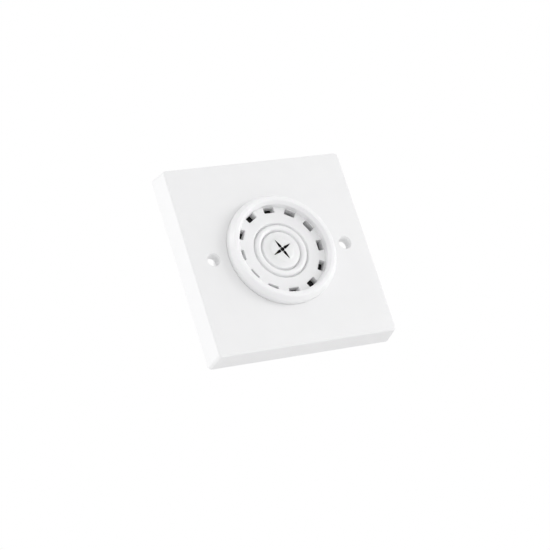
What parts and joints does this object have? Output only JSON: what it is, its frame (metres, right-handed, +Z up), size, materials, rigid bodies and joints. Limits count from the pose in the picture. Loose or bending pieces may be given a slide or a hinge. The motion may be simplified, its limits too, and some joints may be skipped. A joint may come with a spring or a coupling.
{
  "type": "flush alarm siren",
  "caption": "Flush piezo alarm siren: a square wall plate with a round slotted grille in front and a short sounder can with screw terminals behind.",
  "frame": {"origin": "centre of the faceplate's rear rim, in the plane of the wall", "axes": "+Z up, +Y into the wall, so the front faces -Y; +X to the right as seen from the front"},
  "size_m": [0.083, 0.036, 0.083],
  "materials": {
    "black_plastic": "satin",
    "board_laminate": "satin",
    "capacitor_sleeve": "satin",
    "clamp_brass": "satin",
    "copper_wire": "satin",
    "diaphragm_brass": "satin",
    "epoxy_case": "matte",
    "ferrite": "matte",
    "grille_plastic": "satin",
    "lead_black": "satin",
    "lead_red": "satin",
    "piezo_ceramic": "satin",
    "plate_plastic": "satin",
    "plated_steel": "satin",
    "resistor_body": "satin",
    "rubber": "matte",
    "terminal_plastic": "satin",
    "tinned_brass": "satin"
  },
  "bodies": {
    "housing": {"acoustic_baffle": "black_plastic", "bezel_gasket": "rubber", "brass_diaphragm": "diaphragm_brass", "capacitor": "capacitor_sleeve", "circuit_board": "board_laminate", "coil_core": "ferrite", "coil_winding": "copper_wire", "cover_screw_1": "plated_steel", "cover_screw_2": "plated_steel", "cover_screw_3": "plated_steel", "diaphragm_clamp": "black_plastic", "diaphragm_seat": "rubber", "diode": "epoxy_case", "driver_ic": "epoxy_case", "faceplate": "plate_plastic", "piezo_ceramic": "piezo_ceramic", "piezo_lead_black": "lead_black", "piezo_lead_red": "lead_red", "rear_cover": "plate_plastic", "resistor_1": "resistor_body", "resistor_2": "resistor_body", "resistor_3": "resistor_body", "ring_nut": "plate_plastic", "siren_can": "plate_plastic", "siren_grille": "grille_plastic", "terminal_block": "terminal_plastic", "terminal_contact_1": "tinned_brass", "terminal_contact_2": "tinned_brass", "terminal_contact_3": "tinned_brass", "terminal_contact_4": "tinned_brass", "transistor_1": "epoxy_case", "transistor_2": "epoxy_case"},
    "screw_1": {"terminal_screw_1": "plated_steel"},
    "clamp_1": {"terminal_clamp_1": "clamp_brass"},
    "screw_2": {"terminal_screw_2": "plated_steel"},
    "clamp_2": {"terminal_clamp_2": "clamp_brass"},
    "screw_3": {"terminal_screw_3": "plated_steel"},
    "clamp_3": {"terminal_clamp_3": "clamp_brass"},
    "screw_4": {"terminal_screw_4": "plated_steel"},
    "clamp_4": {"terminal_clamp_4": "clamp_brass"}
  },
  "joints": [
    {"name": "screw_turn_1", "type": "hinge", "parent": "housing", "child": "screw_1", "pos_m": [-0.00762, 0.0185, -0.0053], "axis": [0, -1, 0], "range_deg": [0, 1440]},
    {"name": "clamp_rise_1", "type": "slide", "parent": "housing", "child": "clamp_1", "axis": [0, 1, 0], "range_m": [0, 0.0018]},
    {"name": "screw_turn_2", "type": "hinge", "parent": "housing", "child": "screw_2", "pos_m": [-0.00254, 0.0185, -0.0053], "axis": [0, -1, 0], "range_deg": [0, 1440]},
    {"name": "clamp_rise_2", "type": "slide", "parent": "housing", "child": "clamp_2", "axis": [0, 1, 0], "range_m": [0, 0.0018]},
    {"name": "screw_turn_3", "type": "hinge", "parent": "housing", "child": "screw_3", "pos_m": [0.00254, 0.0185, -0.0053], "axis": [0, -1, 0], "range_deg": [0, 1440]},
    {"name": "clamp_rise_3", "type": "slide", "parent": "housing", "child": "clamp_3", "axis": [0, 1, 0], "range_m": [0, 0.0018]},
    {"name": "screw_turn_4", "type": "hinge", "parent": "housing", "child": "screw_4", "pos_m": [0.00762, 0.0185, -0.0053], "axis": [0, -1, 0], "range_deg": [0, 1440]},
    {"name": "clamp_rise_4", "type": "slide", "parent": "housing", "child": "clamp_4", "axis": [0, 1, 0], "range_m": [0, 0.0018]}
  ],
  "couplings": [
    {"joint": "screw_turn_1", "follows": "clamp_rise_1", "rad_per_m": 13963},
    {"joint": "screw_turn_2", "follows": "clamp_rise_2", "rad_per_m": 13963},
    {"joint": "screw_turn_3", "follows": "clamp_rise_3", "rad_per_m": 13963},
    {"joint": "screw_turn_4", "follows": "clamp_rise_4", "rad_per_m": 13963}
  ]
}
